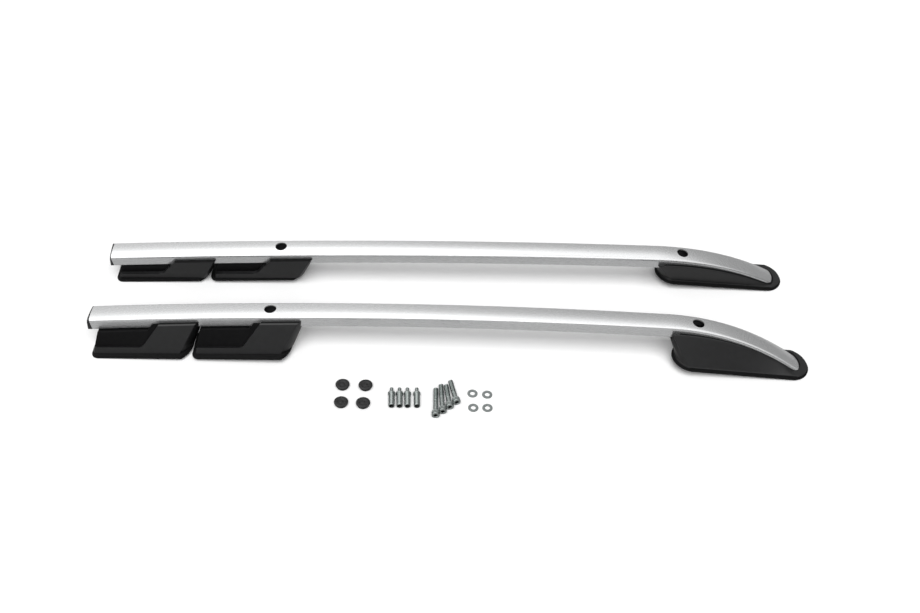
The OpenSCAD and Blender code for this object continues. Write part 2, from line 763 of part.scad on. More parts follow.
// Floor places of the fixings, measured like the pair; bolts and inserts also have a turn, bolts a length
plug_places = [[-188.4, -179.7], [-151, -180.1], [-188, -218.2], [-152.8, -218.9]];
insert_places = [[-106.9, -225.5, 2], [-94.1, -225.3, 2], [-81.3, -225, 2], [-66.1, -224.6, 2]];
bolt_places = [[-36.4, -186.3, 0.4, long_bolt], [-28.1, -177.9, 3.3, long_bolt],
    [-19.8, -178.2, 7.9, short_bolt], [-12.8, -168.5, 12.8, short_bolt]];
washer_places = [[23.5, -189.9], [47.5, -191.6], [24.4, -221], [47.3, -220.6]];
module laid(place) {
    translate([set_x + place[0], set_y + place[1], 0]) children();
}

for (side = ["right", "left"]) {
    on_side(side) rail_tube();
    on_side(side) rear_end_cap();
    on_side(side) rear_foot();
    on_side(side) middle_foot();
    on_side(side) front_foot();
    on_side(side) rear_pad();
    on_side(side) middle_pad();
    on_side(side) front_pad();
    on_side(side) rear_bolt_sleeve();
    on_side(side) front_bolt_sleeve();
    on_side(side) foot_screws();
}
for (i = [0 : 3]) {
    laid(plug_places[i]) hole_plug();
    laid(insert_places[i]) rotate([0, 0, insert_places[i][2]]) threaded_insert();
    laid(bolt_places[i]) rotate([0, 0, bolt_places[i][2]]) bolt(bolt_places[i][3]);
    laid(washer_places[i]) washer();
}
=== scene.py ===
# %% [markdown]
# # A pair of roof side rails
# Two bowed aluminium tubes stand on black moulded feet, on a plain white floor.
# Their own fixings lie in front of them: hole plugs, threaded inserts, bolts and washers.
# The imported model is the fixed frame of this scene. Everything is in metres, with X along the rails
# towards the front of the vehicle and Z up. Sizes below are written in millimetres and turned to metres
# where a mesh is made.

# %% The fixed frame
import json
import math
import bmesh
import bpy
import numpy as np
from mathutils import Matrix, Vector


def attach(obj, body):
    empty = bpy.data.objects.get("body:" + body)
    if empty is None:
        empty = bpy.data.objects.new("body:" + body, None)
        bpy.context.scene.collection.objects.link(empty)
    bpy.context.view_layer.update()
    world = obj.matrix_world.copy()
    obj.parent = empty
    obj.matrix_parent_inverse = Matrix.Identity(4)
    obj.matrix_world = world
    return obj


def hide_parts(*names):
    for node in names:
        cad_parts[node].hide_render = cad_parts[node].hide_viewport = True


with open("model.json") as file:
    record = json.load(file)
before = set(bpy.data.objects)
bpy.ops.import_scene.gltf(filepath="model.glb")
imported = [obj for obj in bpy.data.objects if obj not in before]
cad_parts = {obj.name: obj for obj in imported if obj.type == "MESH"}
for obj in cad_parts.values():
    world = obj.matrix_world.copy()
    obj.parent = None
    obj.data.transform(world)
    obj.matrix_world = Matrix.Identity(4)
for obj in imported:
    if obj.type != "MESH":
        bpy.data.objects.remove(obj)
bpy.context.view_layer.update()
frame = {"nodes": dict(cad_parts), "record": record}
MM = 0.001

# %% [markdown]
# ## The camera
# The picture looks down on the rails from in front of them, by forty-three degrees.
# The lens follows from how much the far rail shrinks against the near one.
# The camera is also turned two degrees to one side and rolled by nearly three, which makes both rails
# run slightly downhill to the right.

# %% Camera
IMAGE_SIZE = (920, 613)
SENSOR = 36.0
focal_px = 1126.95
look_down = math.radians(42.964)
yaw = math.radians(-2.15)
roll = math.radians(2.838)
camera_height = 1355.97 * MM
# The place on the floor in the middle of the picture
aim = Vector((14.273, 67.702, 0.0)) * MM

ahead = Vector((-math.sin(yaw), math.cos(yaw), 0.0))
forward = ahead * math.cos(look_down) - Vector((0.0, 0.0, math.sin(look_down)))
level_right = Vector((math.cos(yaw), math.sin(yaw), 0.0))
level_up = level_right.cross(forward)
right = level_right * math.cos(roll) + level_up * math.sin(roll)
up = level_up * math.cos(roll) - level_right * math.sin(roll)
eye = aim - forward * (camera_height / math.sin(look_down))

camera_data = bpy.data.cameras.new("camera")
camera_data.sensor_width = SENSOR
camera_data.lens = focal_px * SENSOR / IMAGE_SIZE[0]
camera = bpy.data.objects.new("camera", camera_data)
camera.matrix_world = Matrix((
    (right.x, up.x, -forward.x, eye.x),
    (right.y, up.y, -forward.y, eye.y),
    (right.z, up.z, -forward.z, eye.z),
    (0, 0, 0, 1)))
bpy.context.scene.collection.objects.link(camera)
bpy.context.scene.camera = camera
print("camera at", [round(c, 3) for c in eye], "lens", round(camera_data.lens, 2))

# %% [markdown]
# ## Materials
# Every finish is a small set of nodes that read Object coordinates, which are the place in metres, so a
# grain keeps its real size. One helper lays noise over the object and turns it into numbers, and each
# finish uses that for its roughness, its colour and its fine relief.

# %% Helpers for materials
def new_material(name, colour, roughness, metallic=0.0, specular=0.5):
    """A shader with its plain values set, wired to the output, and the tree to add nodes to."""
    material = bpy.data.materials.new(name)
    material.use_nodes = True
    tree = material.node_tree
    tree.nodes.clear()
    shader = tree.nodes.new("ShaderNodeBsdfPrincipled")
    output = tree.nodes.new("ShaderNodeOutputMaterial")
    tree.links.new(shader.outputs["BSDF"], output.inputs["Surface"])
    shader.inputs["Base Color"].default_value = (*colour, 1)
    shader.inputs["Roughness"].default_value = roughness
    shader.inputs["Metallic"].default_value = metallic
    shader.inputs["Specular IOR Level"].default_value = specular
    return material, tree, shader


def noise(tree, size_mm, stretch=(1, 1, 1), detail=2.0):
    """Noise whose blobs are about size_mm across, drawn out along an axis by its stretch."""
    place = tree.nodes.new("ShaderNodeTexCoord")
    mapping = tree.nodes.new("ShaderNodeMapping")
    pattern = tree.nodes.new("ShaderNodeTexNoise")
    mapping.inputs["Scale"].default_value = [1 / (size_mm * MM * s) for s in stretch]
    pattern.inputs["Scale"].default_value = 1.0
    pattern.inputs["Detail"].default_value = detail
    tree.links.new(place.outputs["Object"], mapping.inputs["Vector"])
    tree.links.new(mapping.outputs["Vector"], pattern.inputs["Vector"])
    return pattern.outputs["Fac"]


def between(tree, value, low, high, start=0.3, end=0.7):
    """Turns noise between start and end into numbers between low and high."""
    ramp = tree.nodes.new("ShaderNodeMapRange")
    for key, number in (("From Min", start), ("From Max", end), ("To Min", low), ("To Max", high)):
        ramp.inputs[key].default_value = number
    tree.links.new(value, ramp.inputs["Value"])
    return ramp.outputs["Result"]


def tinted(tree, shader, value, low, high):
    """Mixes two colours by a value into the shader's colour."""
    mix = tree.nodes.new("ShaderNodeMix")
    mix.data_type = "RGBA"
    mix.inputs["A"].default_value, mix.inputs["B"].default_value = (*low, 1), (*high, 1)
    tree.links.new(value, mix.inputs["Factor"])
    tree.links.new(mix.outputs["Result"], shader.inputs["Base Color"])


def relief(tree, shader, height, depth_mm, strength):
    """Fine relief of a given depth from a value between 0 and 1, weakened by a strength."""
    bump = tree.nodes.new("ShaderNodeBump")
    bump.inputs["Strength"].default_value = strength
    bump.inputs["Distance"].default_value = depth_mm * MM
    tree.links.new(height, bump.inputs["Height"])
    tree.links.new(bump.outputs["Normal"], shader.inputs["Normal"])


def varied(tree, shader, grain, roughness, patches, low, high):
    """Lets the roughness follow a grain over a range, and the colour follow patches between two shades."""
    tree.links.new(between(tree, grain, *roughness), shader.inputs["Roughness"])
    tinted(tree, shader, between(tree, patches, 0, 1), low, high)


print("material helpers ready")

# %% [markdown]
# ### Satin aluminium
# The tubes have the even satin shine of brushed and anodised aluminium. Fine lines run along the rail, a
# few tenths of a millimetre wide and many millimetres long, and they change the roughness more than the
# colour. Inside, the tubes are painted nearly black, which is painted shade that makes the access holes look
# dark.

# %% Aluminium
aluminium, tree, shader = new_material("satin_aluminium", (0.74, 0.745, 0.75), roughness=0.27, metallic=0.85)
lines = noise(tree, 0.35, stretch=(120, 1, 1), detail=3)
varied(tree, shader, lines, (0.262, 0.282), noise(tree, 40, stretch=(6, 1, 1)),
       (0.725, 0.73, 0.735), (0.755, 0.76, 0.765))
relief(tree, shader, lines, depth_mm=0.001, strength=0.05)
# Painted shade: the inside of the tube is painted near black
tube_lining_shade, tree, shader = new_material("tube_lining_painted_shade", (0.02, 0.02, 0.021), roughness=0.8)
stains = noise(tree, 1.2, stretch=(20, 1, 1))
tinted(tree, shader, between(tree, stains, 0, 1), (0.012, 0.012, 0.013), (0.022, 0.022, 0.023))
print("aluminium ready")

# %% [markdown]
# ### Grained black plastic
# The feet have the look of a moulded black plastic with a fine grain: matt from afar and finely pebbled
# close up. Their recessed panels and the tops of their shoulders lie under the tube, and they get a much
# blacker plastic with less gloss, which is painted shade. The end caps and plugs are smoother, and the
# rubber of the pads is the dullest.

# %% Plastics and rubber
grained, tree, shader = new_material("grained_black", (0.006, 0.006, 0.0065), roughness=0.4)
pebbles = noise(tree, 0.55, detail=3)
varied(tree, shader, pebbles, (0.34, 0.46), noise(tree, 9),
       (0.004, 0.0041, 0.0043), (0.0065, 0.0066, 0.007))
relief(tree, shader, pebbles, depth_mm=0.05, strength=0.5)
# Painted shade: a blacker, duller plastic for the recessed panels and the shoulders' tops under the tube
recess_painted_shade, tree, shader = new_material("recess_painted_shade", (0.003, 0.003, 0.0032),
                                          roughness=0.5, specular=0.1)
varied(tree, shader, noise(tree, 0.4, detail=3), (0.44, 0.56), noise(tree, 7),
       (0.0024, 0.0024, 0.0026), (0.0038, 0.0038, 0.004))
trim, tree, shader = new_material("black_trim", (0.012, 0.012, 0.0125), roughness=0.3, specular=0.3)
varied(tree, shader, noise(tree, 3.0), (0.25, 0.35), noise(tree, 6),
       (0.010, 0.010, 0.0105), (0.0145, 0.0145, 0.015))
relief(tree, shader, noise(tree, 0.3, detail=2), depth_mm=0.012, strength=0.4)
rubber, tree, shader = new_material("pad_rubber", (0.005, 0.005, 0.0052), roughness=0.65, specular=0.14)
crumbs = noise(tree, 0.4, detail=4)
varied(tree, shader, crumbs, (0.58, 0.72), noise(tree, 5),
       (0.004, 0.004, 0.0042), (0.0062, 0.0062, 0.0064))
relief(tree, shader, crumbs, depth_mm=0.03, strength=0.4)
print("plastics ready")

# %% [markdown]
# ### Bright zinc
# Bolts, washers, inserts, screws and sleeves are zinc-plated steel with a cool cast, shiny and softly
# clouded. The washers look duller and have a finish of their own. Bores and sockets are painted a
# near-black zinc, which is painted shade for the shadow inside them.

# %% Zinc
zinc, tree, shader = new_material("zinc_steel", (0.37, 0.40, 0.39), roughness=0.24, metallic=1.0)
clouds = noise(tree, 2.2, detail=3)
varied(tree, shader, clouds, (0.18, 0.32), clouds, (0.32, 0.355, 0.345), (0.43, 0.46, 0.45))
relief(tree, shader, noise(tree, 0.25, detail=2), depth_mm=0.004, strength=0.5)
dull_zinc, tree, shader = new_material("tumbled_zinc", (0.24, 0.26, 0.255), roughness=0.4, metallic=1.0)
scuffs = noise(tree, 1.1, detail=3)
varied(tree, shader, scuffs, (0.34, 0.46), scuffs, (0.20, 0.22, 0.215), (0.28, 0.30, 0.295))
relief(tree, shader, scuffs, depth_mm=0.006, strength=0.4)
# Painted shade: near-black zinc for the insides of bores and sockets
bore_painted_shade, tree, shader = new_material("zinc_bores_painted_shade", (0.05, 0.054, 0.053), roughness=0.5, metallic=1.0)
patches = noise(tree, 1.5, detail=2)
varied(tree, shader, patches, (0.42, 0.58), patches, (0.035, 0.038, 0.037), (0.06, 0.065, 0.064))
print("zinc ready")

# %% Hand out the finishes
finishes = {"satin_aluminium": aluminium, "grained_black": grained, "black_trim": trim,
            "pad_rubber": rubber, "zinc_steel": zinc}
for part in frame["record"]["subparts"]:
    node = frame["nodes"][part["node"]]
    node.data.materials.clear()
    node.data.materials.append(finishes[part["material_slot"]])

# %% [markdown]
# ## Meshes from grids of points
# Nearly every new piece here is a grid: rings of points, one after another along the piece.
# Neighbouring rings are joined by quads. Working the points out as whole arrays keeps the shape in one
# formula, so a size can be changed and the surface follows.

# %% A mesh from rings
def ring_faces(rings, around, first=0, flip=False):
    """Quads between neighbouring rings: each joins point i and i+1 of one ring to the same of the next."""
    k, i = np.meshgrid(np.arange(rings - 1), np.arange(around), indexing="ij")
    j = (i + 1) % around
    quads = np.stack([k * around + i, k * around + j, (k + 1) * around + j, (k + 1) * around + i], -1)
    quads = quads.reshape(-1, 4) + first
    return quads[:, ::-1] if flip else quads


def add_piece(name, points, faces, merge=True, second=None):
    """A mesh object from points in metres, with its faces turned outwards. Doubled points are merged
    unless merge is off, and faces that are marked in second take the second material."""
    mesh = bpy.data.meshes.new(name)
    mesh.from_pydata(points.tolist(), [], faces if isinstance(faces, list) else faces.tolist())
    if second is not None:
        mesh.polygons.foreach_set("material_index", second.astype(np.int32))
    work = bmesh.new()
    work.from_mesh(mesh)
    if merge:
        bmesh.ops.remove_doubles(work, verts=work.verts, dist=1e-6)
    bmesh.ops.dissolve_degenerate(work, edges=work.edges, dist=1e-7)
    bmesh.ops.recalc_face_normals(work, faces=work.faces)
    work.to_mesh(mesh)
    work.free()
    piece = bpy.data.objects.new(name, mesh)
    bpy.context.scene.collection.objects.link(piece)
    return piece


def smooth_faces(piece, angle):
    """Smooth shading, with an edge kept sharp where its faces turn by more than the angle."""
    piece.data.shade_smooth()
    piece.data.set_sharp_from_angle(angle=math.radians(angle))


def stands_for(piece, node, slot):
    """The piece moves with the frame, hides the node that it stands for, and names its finish."""
    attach(piece, "root")
    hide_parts(node)
    if not piece.data.materials:
        piece.data.materials.append(finishes[slot])
    return piece


print("helpers ready")

# %% [markdown]
# ## The line of a rail
# Seen from the side, the top of a rail is a very long bow, then a tighter bend at the front, then a
# straight run down into the front foot. The three join without a kink, so one distance along the line
# gives a place and a slope.

# %% The line as a function of distance
bow_radius, apex_x, apex_z = 9450.0, 684.0, 87.0
bend_x, bend_radius, bend_slope = 956.0, 418.0, math.radians(32.0)
rear_angle = math.asin(-apex_x / bow_radius)
bend_start = math.asin((bend_x - apex_x) / bow_radius)
bow_centre_z = apex_z - bow_radius
bend_centre_x = bend_x - bend_radius * math.sin(bend_start)
bend_centre_z = bow_centre_z + (bow_radius - bend_radius) * math.cos(bend_start)
nose_x = bend_centre_x + bend_radius * math.sin(bend_slope)
nose_z = bend_centre_z + bend_radius * math.cos(bend_slope)
bow_length = bow_radius * (bend_start - rear_angle)
bend_length = bend_radius * (bend_slope - bend_start)


def rail_line(s):
    """Place and slope at a distance s from the rear: on the bow the angle grows as s over its radius,
    on the bend as s over the smaller radius, and past it the line runs straight at the last slope."""
    bow = rear_angle + s / bow_radius
    bend = bend_start + (s - bow_length) / bend_radius
    past = s - bow_length - bend_length
    x = np.select([s < bow_length, past < 0],
                  [apex_x + bow_radius * np.sin(bow), bend_centre_x + bend_radius * np.sin(bend)],
                  nose_x + past * math.cos(bend_slope))
    z = np.select([s < bow_length, past < 0],
                  [bow_centre_z + bow_radius * np.cos(bow), bend_centre_z + bend_radius * np.cos(bend)],
                  nose_z - past * math.sin(bend_slope))
    slope = np.select([s < bow_length, past < 0], [bow, bend], bend_slope)
    return x, z, slope


print("bow", round(bow_length), "mm, bend", round(bend_length), "mm")

# %% [markdown]
# ## The section of the tube
# The extrusion is a flattened oval: a gently crowned top, a tight turn at each side, flanks that draw in,
# and a flat underside. It is canted about its own length, with the inner side up. The wall is even, so
# the inner outline has the same arcs with smaller radii.

# %% The outline of the section
tube_width, tube_height, tube_wall, tube_cant = 38.0, 26.5, 2.2, math.radians(12.5)
crown_radius, side_radius, under_width, under_radius = 72.0, 5.0, 32.5, 4.5
crown_parts, side_parts, flank_parts, lower_parts = 16, 12, 4, 10


def arc(centre, radius, start, end, steps):
    """Points at even angles round a centre, from the start angle to the end angle."""
    a = np.linspace(start, end, steps + 1)
    return np.asarray(centre) + radius * np.stack([np.cos(a), np.sin(a)], -1)


def tube_outline(inset):
    """Half an outline as crown arc, side arc, flank and lower arc, then its mirror image, all canted.
    Each arc starts where the one before it ends, because both centres lie on their common normal."""
    side_x = tube_width / 2 - side_radius
    side_z = -crown_radius + math.sqrt((crown_radius - side_radius) ** 2 - side_x ** 2)
    under_x, under_z = under_width / 2 - under_radius, under_radius - tube_height
    crown_edge = math.atan2(side_z + crown_radius, side_x)
    flank = (under_x - side_x, under_z - side_z)
    normal = math.atan2(flank[1], flank[0]) + math.acos((side_radius - under_radius) / math.hypot(*flank))
    crown = arc((0, -crown_radius), crown_radius - inset, math.pi / 2, crown_edge, crown_parts)
    side = arc((side_x, side_z), side_radius - inset, crown_edge, normal, side_parts)[1:]
    lower = arc((under_x, under_z), under_radius - inset, normal, -math.pi / 2, lower_parts)
    share = np.linspace(0, 1, flank_parts + 1)[1:-1, None]
    flank_points = side[-1] * (1 - share) + lower[0] * share
    half = np.concatenate([crown, side, flank_points, lower])
    mirrored = half[::-1] * (-1, 1)
    loop = np.concatenate([half, mirrored[:-1]])
    x, z = loop[:, 0], loop[:, 1] + tube_height / 2
    return np.stack([x * math.cos(tube_cant) - z * math.sin(tube_cant),
                     x * math.sin(tube_cant) + z * math.cos(tube_cant) - tube_height / 2], -1)


print("outline points:", len(tube_outline(0)))

# %% [markdown]
# ## From the plane of a rail to the floor
# Each rail is worked out upright. It then leans inwards as it stands on a flat floor, turns out by its
# toe, and moves to its side. The left rail is the mirror image of the right one.
# The roof that the feet are made for isn't flat: it rises under the rear feet and falls under the front one.

# %% Frames
lean, toe = math.radians(16.0), math.radians(0.8)
half_track, pair_x, rail_middle_x = 102.4, -16.0, 592.0
set_shift = np.array((10.32, 49.4, 0.0))
mirror = {"right": np.array((1, 1, 1)), "left": np.array((1, -1, 1))}
rear_pitch, front_pitch = math.radians(1.9), math.radians(4.0)
pad_lip, pad_height, tray_rim, nose_margin = 3.0, 5.0, 2.5, 15.0
tray_height = pad_height + tray_rim
nose_rise = tray_height + (nose_margin + pad_lip) * math.tan(front_pitch)
tip_x = nose_x + (nose_z * math.cos(lean) - nose_rise) / (math.tan(bend_slope) * math.cos(lean))
rear_foot_x, middle_foot_end, front_foot_end = 3.5, 327.5, tip_x + nose_margin
front_foot_length, rear_bolt_inset, front_bolt_inset, bolt_y = 228.5, 29.5, 31.0, 18.0
front_foot_x = front_foot_end - front_foot_length
rear_pivot_x, front_pivot_x = rear_foot_x - pad_lip, front_foot_end + pad_lip
rear_bolt_x, front_bolt_x = middle_foot_end - rear_bolt_inset, front_foot_x + front_bolt_inset


def leaned(p):
    """Turns points about the length of the rail, so that their tops move inwards by the lean."""
    x, y, z = np.moveaxis(p, -1, 0)
    return np.stack([x, y * math.cos(lean) + z * math.sin(lean), z * math.cos(lean) - y * math.sin(lean)], -1)


def on_roof(p, pivot, pitch):
    """Turns points about a cross line on the floor at the pivot, nose down by the pitch."""
    x, y, z = np.moveaxis(p, -1, 0)
    x = x - pivot
    return np.stack([pivot + x * math.cos(pitch) + z * math.sin(pitch), y,
                     z * math.cos(pitch) - x * math.sin(pitch)], -1)


def stood(p, side):
    """Turns a rail by its toe, moves it to its side, mirrors the left one, and gives metres."""
    x, y, z = np.moveaxis(p, -1, 0)
    x = x - rail_middle_x
    placed = np.stack([pair_x + x * math.cos(toe) + y * math.sin(toe),
                       -half_track - x * math.sin(toe) + y * math.cos(toe), z], -1)
    return (placed * mirror[side] + set_shift) * MM


print("tip of the tube at", round(tip_x, 1), "mm")

# %% [markdown]
# ## The tubes
# A rail tube is its outline carried along the line of the rail. One way is a curve with a bevel object,
# but then the end could only be square. Here each point of the outline runs along the rail by itself, up
# to the slanting plane where the front foot's tray receives the tube, so the end lies exactly on the tray.
# The distance to that plane is found for all the outline's points at once by halving an interval.

# %% The tube as a grid
bow_rings, bend_rings, halvings, furthest_past_bend = 110, 60, 40, 120.0


def carried(outline, s):
    """Places outline points at distances s: forwards along the slope and square to it, then leaned."""
    x, z, slope = rail_line(s)
    across, height = outline[:, 0] + 0 * s, outline[:, 1] + 0 * s
    return leaned(np.stack([x + height * np.sin(slope), across, z + height * np.cos(slope)], -1))


def height_on_roof(p):
    """Height over the roof's plane under the front foot: (x - pivot) sin(pitch) + z cos(pitch)."""
    return (p[:, 0] - front_pivot_x) * math.sin(front_pitch) + p[:, 2] * math.cos(front_pitch)


def end_distances(outline):
    """How far each outline point travels before it meets the tray: an interval is halved many times."""
    low = np.full(len(outline), bow_length)
    high = np.full(len(outline), bow_length + bend_length + furthest_past_bend)
    for _ in range(halvings):
        middle = (low + high) / 2
        over = height_on_roof(carried(outline, middle)) > tray_height
        low, high = np.where(over, middle, low), np.where(over, high, middle)
    return low


def tube_skin(inset):
    """Rings square to the bow, then rings that shear step by step until the last lies on the tray."""
    outline = tube_outline(inset)
    bow = np.linspace(0, 1, bow_rings)[:, None] * bow_length + np.zeros(len(outline))
    share = np.linspace(0, 1, bend_rings + 1)[1:, None]
    bend = bow_length + share * (end_distances(outline) - bow_length)
    return carried(outline, np.concatenate([bow, bend]))


outer, inner = tube_skin(0.0), tube_skin(tube_wall)
rings, around = outer.shape[:2]
inner_first = rings * around
tip_first = (rings - 1) * around
loop = np.arange(around)
loop_next = (loop + 1) % around
rear_ring = np.stack([loop, loop_next, inner_first + loop_next, inner_first + loop], -1)
tip_ring = (rear_ring + tip_first)[:, ::-1]
skin = ring_faces(rings, around)
lining = ring_faces(rings, around, inner_first, flip=True)
tube_faces = np.concatenate([skin, lining, rear_ring, tip_ring])
tube_points = np.concatenate([outer.reshape(-1, 3), inner.reshape(-1, 3)])
# The faces of the lining take the second material, which is painted shade
tube_is_inside = np.zeros(len(tube_faces), np.int32)
tube_is_inside[len(skin):len(skin) + len(lining)] = 1
print("tube:", rings, "rings of", around, "points")

# %% [markdown]
# ## Shapes that turn about an axis
# Plugs, washers, inserts and cutters are turned shapes: a side view given as radius and height, swept
# round an axis. Real turned or moulded corners are never sharp, so each corner of the side view is first
# set back a little and joined by a short curve.

# %% Turned shapes
largest_share = 0.45


def softened(corners, setback, steps=4):
    """Replaces each inner corner by a quadratic curve between two points that lie the setback from it.
    A setback takes no more than the largest share of a side, so that neighbouring curves don't meet."""
    p = np.asarray(corners, float)
    back, on = p[:-2] - p[1:-1], p[2:] - p[1:-1]
    back_length = np.linalg.norm(back, axis=1)[:, None]
    on_length = np.linalg.norm(on, axis=1)[:, None]
    reach = np.minimum(setback, largest_share * np.minimum(back_length, on_length))
    start, end = p[1:-1] + back / back_length * reach, p[1:-1] + on / on_length * reach
    t = np.linspace(0, 1, steps + 1)[None, :, None]
    curve = start[:, None] * (1 - t) ** 2 + 2 * p[1:-1, None] * t * (1 - t) + end[:, None] * t ** 2
    return np.concatenate([p[:1], curve.reshape(-1, 2), p[-1:]])


def turned(profile, steps=96):
    """Sweeps radius and height pairs round the Z axis: x = r cos a, y = r sin a."""
    a = np.linspace(0, 2 * math.pi, steps, endpoint=False)
    r, z = profile[:, 0:1], profile[:, 1:2]
    return np.stack([r * np.cos(a), r * np.sin(a), z + 0 * a], -1)


print("a softened square corner has", len(softened([(0, 0), (1, 0), (1, 1)], 0.2)), "points")

# %% [markdown]
# ## Holes in the tubes
# The bolts drop through a wide access hole in the crown and a small clearance hole in the underside.
# Cutting such round holes into a grid is what a boolean is for. The cutter is one stepped turned shape
# a bolt, narrow below and wide above.

# %% Cut the tubes and stand them up
access_d, bolt_hole = 20.0, 8.6
cutter_foot, cutter_rise = 5.0, 60.0
bolt_axes = ((rear_bolt_x, rear_pivot_x, -rear_pitch), (front_bolt_x, front_pivot_x, front_pitch))


def crest_z(x):
    """Height of the rail's top line at a place x on the bow or the bend, from the circle through it."""
    if x < bend_x:
        return bow_centre_z + math.sqrt(bow_radius ** 2 - (x - apex_x) ** 2)
    return bend_centre_z + math.sqrt(bend_radius ** 2 - (x - bend_centre_x) ** 2)


def bolt_cutter(x, pivot, pitch):
    """A stepped turned shape on a bolt's axis: clearance hole up to mid tube, access hole from there."""
    step = (crest_z(x) - tube_height / 2) * math.cos(lean) - abs(x - pivot) * math.tan(abs(pitch))
    top = step + cutter_rise
    side_view = np.array([(0, cutter_foot), (bolt_hole / 2, cutter_foot), (bolt_hole / 2, step),
                          (access_d / 2, step), (access_d / 2, top), (0, top)])
    return on_roof(turned(side_view) + np.array((x, bolt_y, 0)), pivot, pitch)


def cut_away(piece, cutter):
    """Applies a boolean difference, keeps the result as the piece's mesh, and removes the cutter."""
    modifier = piece.modifiers.new("holes", "BOOLEAN")
    modifier.operation, modifier.solver, modifier.object = "DIFFERENCE", "EXACT", cutter
    result = bpy.data.meshes.new_from_object(piece.evaluated_get(bpy.context.evaluated_depsgraph_get()))
    piece.modifiers.clear()
    piece.data = result
    bpy.data.objects.remove(cutter)


for side in ("right", "left"):
    tube = add_piece("rail_extrusion_" + side, stood(tube_points, side), tube_faces, merge=False)
    tube.data.materials.append(aluminium)
    # The lining's near-black finish is painted shade
    tube.data.materials.append(tube_lining_shade)
    tube.data.polygons.foreach_set("material_index", tube_is_inside)
    for bolt_axis in bolt_axes:
        cutter = stood(bolt_cutter(*bolt_axis), side)
        cut_away(tube, add_piece("cutter", cutter.reshape(-1, 3), ring_faces(*cutter.shape[:2])))
    smooth_faces(tube, angle=28)
    stands_for(tube, "rail_tube_" + side, "satin_aluminium")
    print(tube.name, len(tube.data.polygons), "faces")

# %% [markdown]
# ## The moulded pieces
# The feet, their pads and the rear caps already have their true shapes in the frame, but their edges are
# knife sharp. Moulded plastic and rubber never are. A copy of each mesh has its loose triangles merged and
# its flat faces joined, and a bevel rounds every real edge, so the edges catch the light as they do on the
# real feet.
# The recessed panels and the tops of the shoulders get painted shade. A panel is found by its faces: it
# faces sideways, starts some way under the crest of the rail, and lies well inside the drafted flank. The
# tops of the shoulders face up, high on the foot.

# %% Rounded copies of the frame's moulded pieces
flat_angle, edge_angle, bevel_segments = 0.6, 24.0, 3
half_shoulder, shoulder_depth, flank_draft = 23.0, 13.0, 0.0946
# The last four numbers pick the faces that get painted shade
panel_inside, panel_depth, shoulder_top_depth, facing = 3.5, 17.0, 36.0, 0.8


def rounded_copy(node, name, width, slot):
    """A merged copy of a frame node with its edges rounded to a width in millimetres."""
    mesh = frame["nodes"][node].data.copy()
    mesh.name = name
    work = bmesh.new()
    work.from_mesh(mesh)
    bmesh.ops.remove_doubles(work, verts=work.verts, dist=2e-6)
    bmesh.ops.dissolve_limit(work, angle_limit=math.radians(flat_angle), verts=work.verts, edges=work.edges)
    work.to_mesh(mesh)
    work.free()
    mesh.materials.clear()
    piece = bpy.data.objects.new(name, mesh)
    bpy.context.scene.collection.objects.link(piece)
    bevel = piece.modifiers.new("rounded edges", "BEVEL")
    bevel.width, bevel.segments = width * MM, bevel_segments
    bevel.limit_method, bevel.angle_limit = "ANGLE", math.radians(edge_angle)
    bevel.harden_normals = True
    smooth_faces(piece, angle=edge_angle)
    return stands_for(piece, node, slot)


def paint_recess_shade(piece, side):
    """Paints shade on the recessed panels and the tops of the shoulders with a blacker material. Face centres
    are carried back into the plane of the rail, which undoes stood and leaned. Depth counts down from the
    crest."""
    count = len(piece.data.polygons)
    centre, normal = np.empty(count * 3), np.empty(count * 3)
    piece.data.polygons.foreach_get("center", centre)
    piece.data.polygons.foreach_get("normal", normal)
    p = (centre.reshape(-1, 3) / MM - set_shift) * mirror[side] - (pair_x, -half_track, 0)
    n = normal.reshape(-1, 3) * mirror[side]
    x = p[:, 0] * math.cos(toe) - p[:, 1] * math.sin(toe) + rail_middle_x
    y = p[:, 0] * math.sin(toe) + p[:, 1] * math.cos(toe)
    across = y * math.cos(lean) - p[:, 2] * math.sin(lean)
    height = y * math.sin(lean) + p[:, 2] * math.cos(lean)
    depth = bow_centre_z + np.sqrt(bow_radius ** 2 - (x - apex_x) ** 2) - height
    flank = half_shoulder + (depth - shoulder_depth) * flank_draft
    sideways_facing = np.abs(n[:, 1]) > facing
    upward_facing = n[:, 1] * math.sin(lean) + n[:, 2] * math.cos(lean) > facing
    # The faces of painted shade: recessed panels and the shoulders' tops
    dark = sideways_facing & (np.abs(across) < flank - panel_inside) & (depth > panel_depth)
    dark |= upward_facing & (depth < shoulder_top_depth)
    piece.data.materials.append(recess_painted_shade)
    piece.data.polygons.foreach_set("material_index", dark.astype(np.int32))
    return int(dark.sum())


moulded = 0
for side in ("right", "left"):
    for node, name, width, slot in (
            ("rear_foot_", "rear_foot_shell_", 0.8, "grained_black"),
            ("middle_foot_", "middle_foot_shell_", 0.8, "grained_black"),
            ("rear_pad_", "rear_foot_pad_", 0.5, "pad_rubber"),
            ("middle_pad_", "middle_foot_pad_", 0.5, "pad_rubber"),
            ("front_pad_", "front_foot_pad_", 0.5, "pad_rubber"),
            ("rear_end_cap_", "end_cap_", 0.4, "black_trim")):
        piece = rounded_copy(node + side, name + side, width, slot)
        moulded += 1
        if slot == "grained_black":
            print(piece.name, paint_recess_shade(piece, side), "dark faces")
print(moulded, "rounded pieces")

# %% [markdown]
# ## The front feet
# A front foot is one smooth moulding: a rounded base with a low tray rim, side walls that draw in towards
# the tube and follow its bend, narrow shoulders that hug its flanks, and a tray round its tip. It could be
# cut from blocks, but as a skin it is simpler: one closed outline is drawn at every level, always with the
# same number of points, and the levels are joined. The walls are then ruled surfaces from the rim to the
# shoulders.

